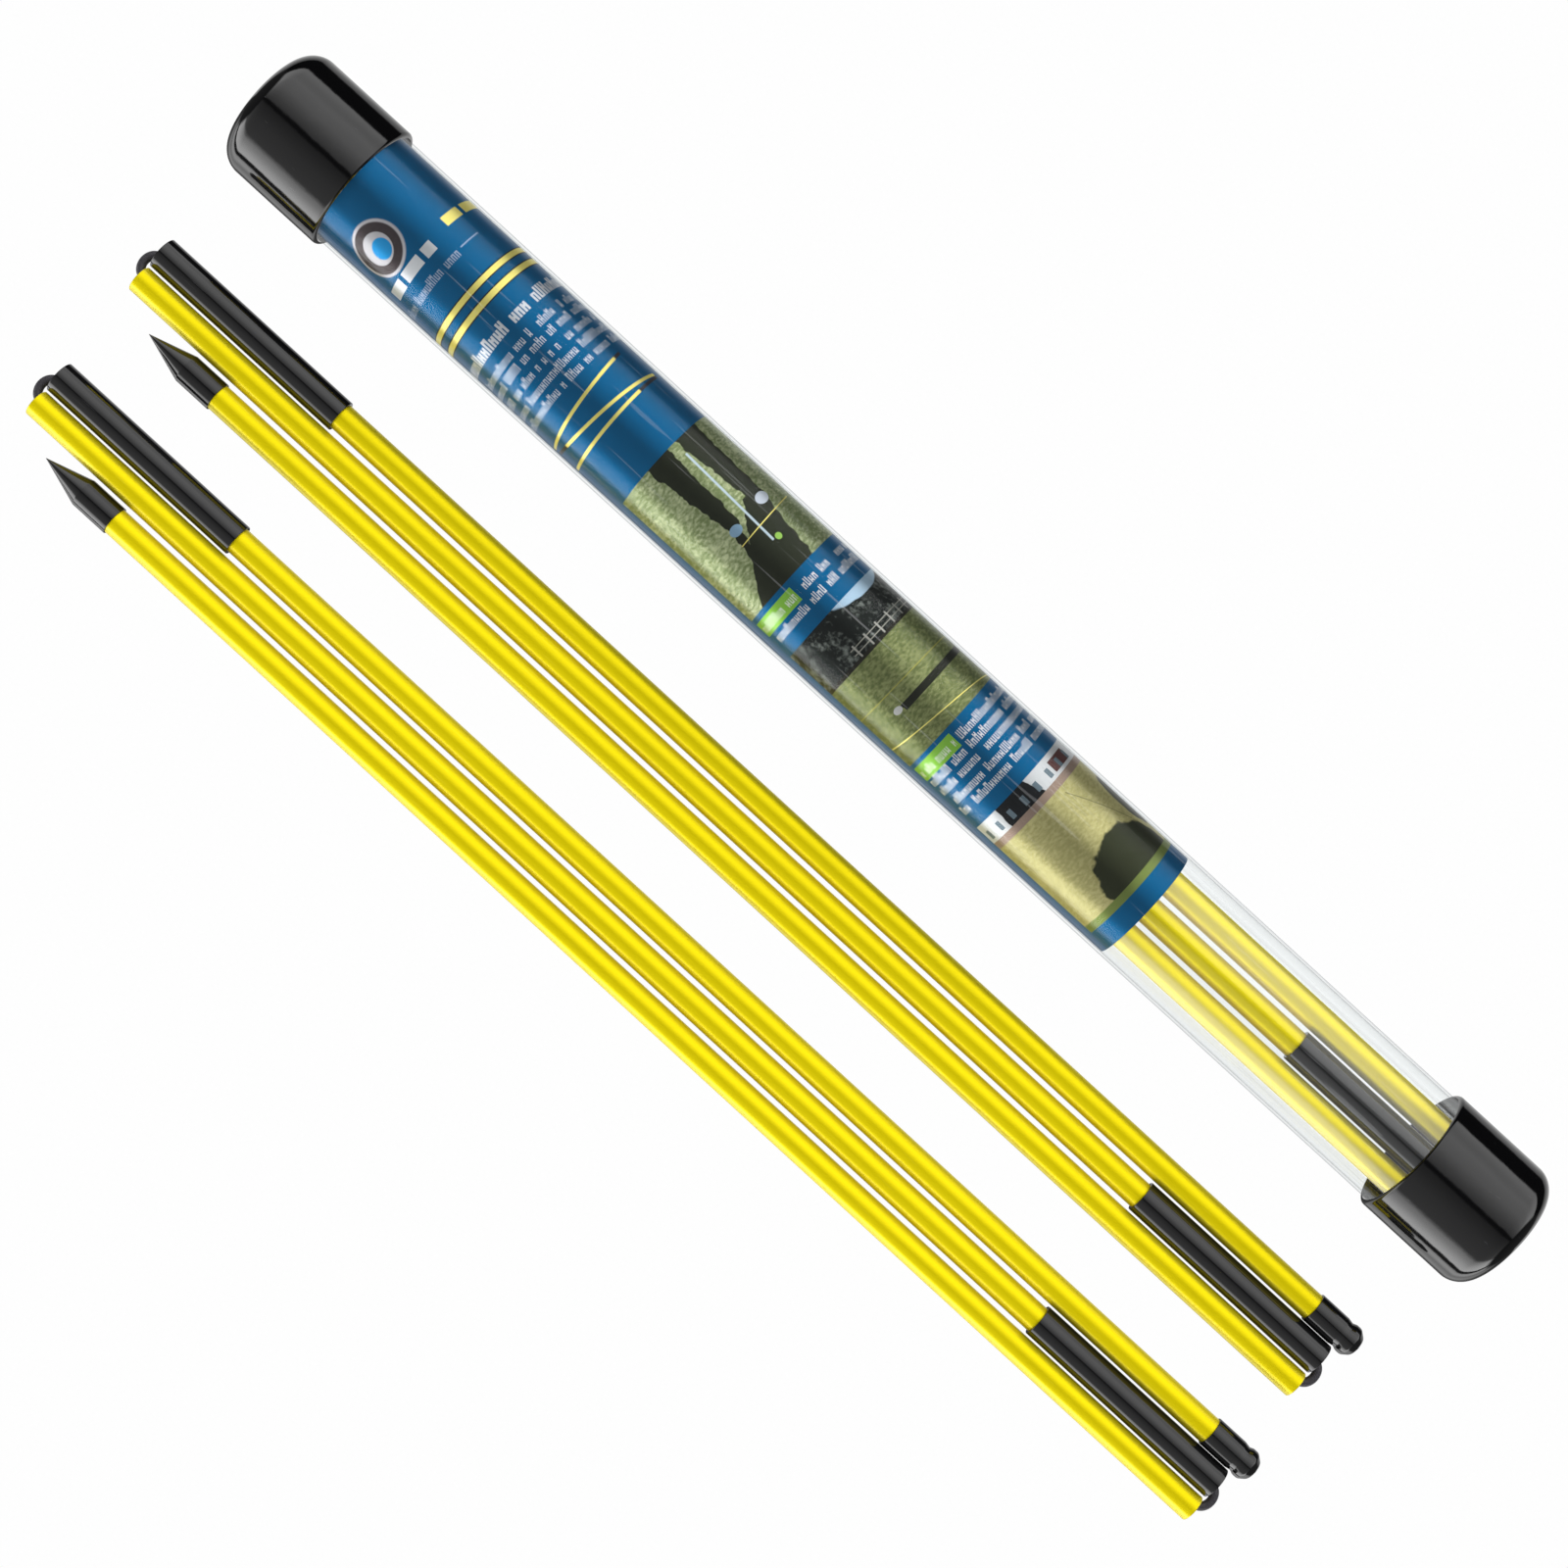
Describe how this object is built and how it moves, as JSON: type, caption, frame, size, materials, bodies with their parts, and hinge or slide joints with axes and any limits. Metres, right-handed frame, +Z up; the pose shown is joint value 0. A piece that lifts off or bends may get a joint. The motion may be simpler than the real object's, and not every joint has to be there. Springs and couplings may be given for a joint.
{
  "type": "folding alignment stick set",
  "caption": "Folding golf alignment sticks of hollow rods on an elastic cord, with a clear capped storage tube and a printed insert; one stick is in the tube.",
  "frame": {"origin": "on the surface that the set lies on, under the middle of its box", "axes": "+X along the tube and the rods towards the end with the end caps; +Y from the loose sticks to the tube; +Z up"},
  "size_m": [0.451, 0.1352, 0.0387],
  "materials": {
    "yellow_rod": "satin yellow fibre-plastic tube",
    "black_ferrule": "gloss black thin metal sleeve",
    "black_tip": "gloss black moulded plastic",
    "black_rubber": "glossy black soft cap",
    "elastic_cord": "black braided elastic cord",
    "clear_tube": "clear thin-walled plastic",
    "printed_insert": "blue printed paper with plain picture panels, no lettering",
    "black_tube_cap": "gloss black moulded cap"
  },
  "bodies": {
    "tube": {"tube": "clear_tube", "tube_insert": "printed_insert"},
    "left_cap": {"left_cap": "black_tube_cap"},
    "right_cap": {"right_cap": "black_tube_cap"},
    "stick_1_end_section": {"stick_1_end_rod": "yellow_rod", "stick_1_end_ferrule": "black_ferrule", "stick_1_end_cap": "black_rubber", "stick_1_end_knot": "elastic_cord", "stick_1_end_cord": "elastic_cord"},
    "stick_1_end_fold": {"stick_1_end_bend": "elastic_cord"},
    "stick_1_middle_section": {"stick_1_middle_rod": "yellow_rod", "stick_1_middle_ferrule": "black_ferrule", "stick_1_middle_cord": "elastic_cord"},
    "stick_1_point_fold": {"stick_1_point_bend": "elastic_cord"},
    "stick_1_point_section": {"stick_1_point_rod": "yellow_rod", "stick_1_point_tip": "black_tip", "stick_1_point_knot": "elastic_cord", "stick_1_point_cord": "elastic_cord"},
    "stick_2_end_section": {"stick_2_end_rod": "yellow_rod", "stick_2_end_ferrule": "black_ferrule", "stick_2_end_cap": "black_rubber", "stick_2_end_knot": "elastic_cord", "stick_2_end_cord": "elastic_cord"},
    "stick_2_end_fold": {"stick_2_end_bend": "elastic_cord"},
    "stick_2_middle_section": {"stick_2_middle_rod": "yellow_rod", "stick_2_middle_ferrule": "black_ferrule", "stick_2_middle_cord": "elastic_cord"},
    "stick_2_point_fold": {"stick_2_point_bend": "elastic_cord"},
    "stick_2_point_section": {"stick_2_point_rod": "yellow_rod", "stick_2_point_tip": "black_tip", "stick_2_point_knot": "elastic_cord", "stick_2_point_cord": "elastic_cord"},
    "stick_3": {"stick_3_end_rod": "yellow_rod", "stick_3_end_ferrule": "black_ferrule", "stick_3_end_cap": "black_rubber", "stick_3_end_knot": "elastic_cord", "stick_3_end_cord": "elastic_cord", "stick_3_end_bend": "elastic_cord", "stick_3_middle_rod": "yellow_rod", "stick_3_middle_ferrule": "black_ferrule", "stick_3_middle_cord": "elastic_cord", "stick_3_point_bend": "elastic_cord", "stick_3_point_rod": "yellow_rod", "stick_3_point_tip": "black_tip", "stick_3_point_knot": "elastic_cord", "stick_3_point_cord": "elastic_cord"}
  },
  "joints": [
    {"name": "stick_1_lift", "type": "slide", "parent": "tube", "child": "stick_1_end_section", "axis": [0, 0, 1], "range_m": [0, 0.85]},
    {"name": "stick_1_end_fold_hinge", "type": "hinge", "parent": "stick_1_end_section", "child": "stick_1_end_fold", "pos_m": [-0.2217, -0.04922, 0.00471], "axis": [0, 0, -1], "range_deg": [0, 180], "deforming": ["stick_1_end_bend"]},
    {"name": "stick_1_end_plug", "type": "slide", "parent": "stick_1_end_fold", "child": "stick_1_middle_section", "axis": [-1, 0, 0], "range_m": [0, 0.0338]},
    {"name": "stick_1_point_fold_hinge", "type": "hinge", "parent": "stick_1_middle_section", "child": "stick_1_point_fold", "pos_m": [0.2174, -0.05857, 0.00471], "axis": [0, 0, 1], "range_deg": [0, 180], "deforming": ["stick_1_point_bend"]},
    {"name": "stick_1_point_plug", "type": "slide", "parent": "stick_1_point_fold", "child": "stick_1_point_section", "axis": [1, 0, 0], "range_m": [0, 0.0338]},
    {"name": "stick_2_lift", "type": "slide", "parent": "tube", "child": "stick_2_end_section", "axis": [0, 0, 1], "range_m": [0, 0.85]},
    {"name": "stick_2_end_fold_hinge", "type": "hinge", "parent": "stick_2_end_section", "child": "stick_2_end_fold", "pos_m": [-0.2238, -0.00542, 0.00471], "axis": [0, 0, -1], "range_deg": [0, 180], "deforming": ["stick_2_end_bend"]},
    {"name": "stick_2_end_plug", "type": "slide", "parent": "stick_2_end_fold", "child": "stick_2_middle_section", "axis": [-1, 0, 0], "range_m": [0, 0.0338]},
    {"name": "stick_2_point_fold_hinge", "type": "hinge", "parent": "stick_2_middle_section", "child": "stick_2_point_fold", "pos_m": [0.2153, -0.01477, 0.00471], "axis": [0, 0, 1], "range_deg": [0, 180], "deforming": ["stick_2_point_bend"]},
    {"name": "stick_2_point_plug", "type": "slide", "parent": "stick_2_point_fold", "child": "stick_2_point_section", "axis": [1, 0, 0], "range_m": [0, 0.0338]},
    {"name": "stick_3_draw", "type": "slide", "parent": "tube", "child": "stick_3", "axis": [-1, 0, 0], "range_m": [0, 0.46]},
    {"name": "left_cap_pull", "type": "slide", "parent": "tube", "child": "left_cap", "axis": [-1, 0, 0], "range_m": [0, 0.56]},
    {"name": "right_cap_pull", "type": "slide", "parent": "tube", "child": "right_cap", "axis": [1, 0, 0], "range_m": [0, 0.05]}
  ],
  "couplings": [
    {"joint": "stick_2_end_fold_hinge", "follows": "stick_2_lift", "rad_per_m": 3.6959},
    {"joint": "stick_2_point_fold_hinge", "follows": "stick_2_lift", "rad_per_m": 3.6959},
    {"joint": "left_cap_pull", "follows": "stick_3_draw", "ratio": 1.2}
  ]
}
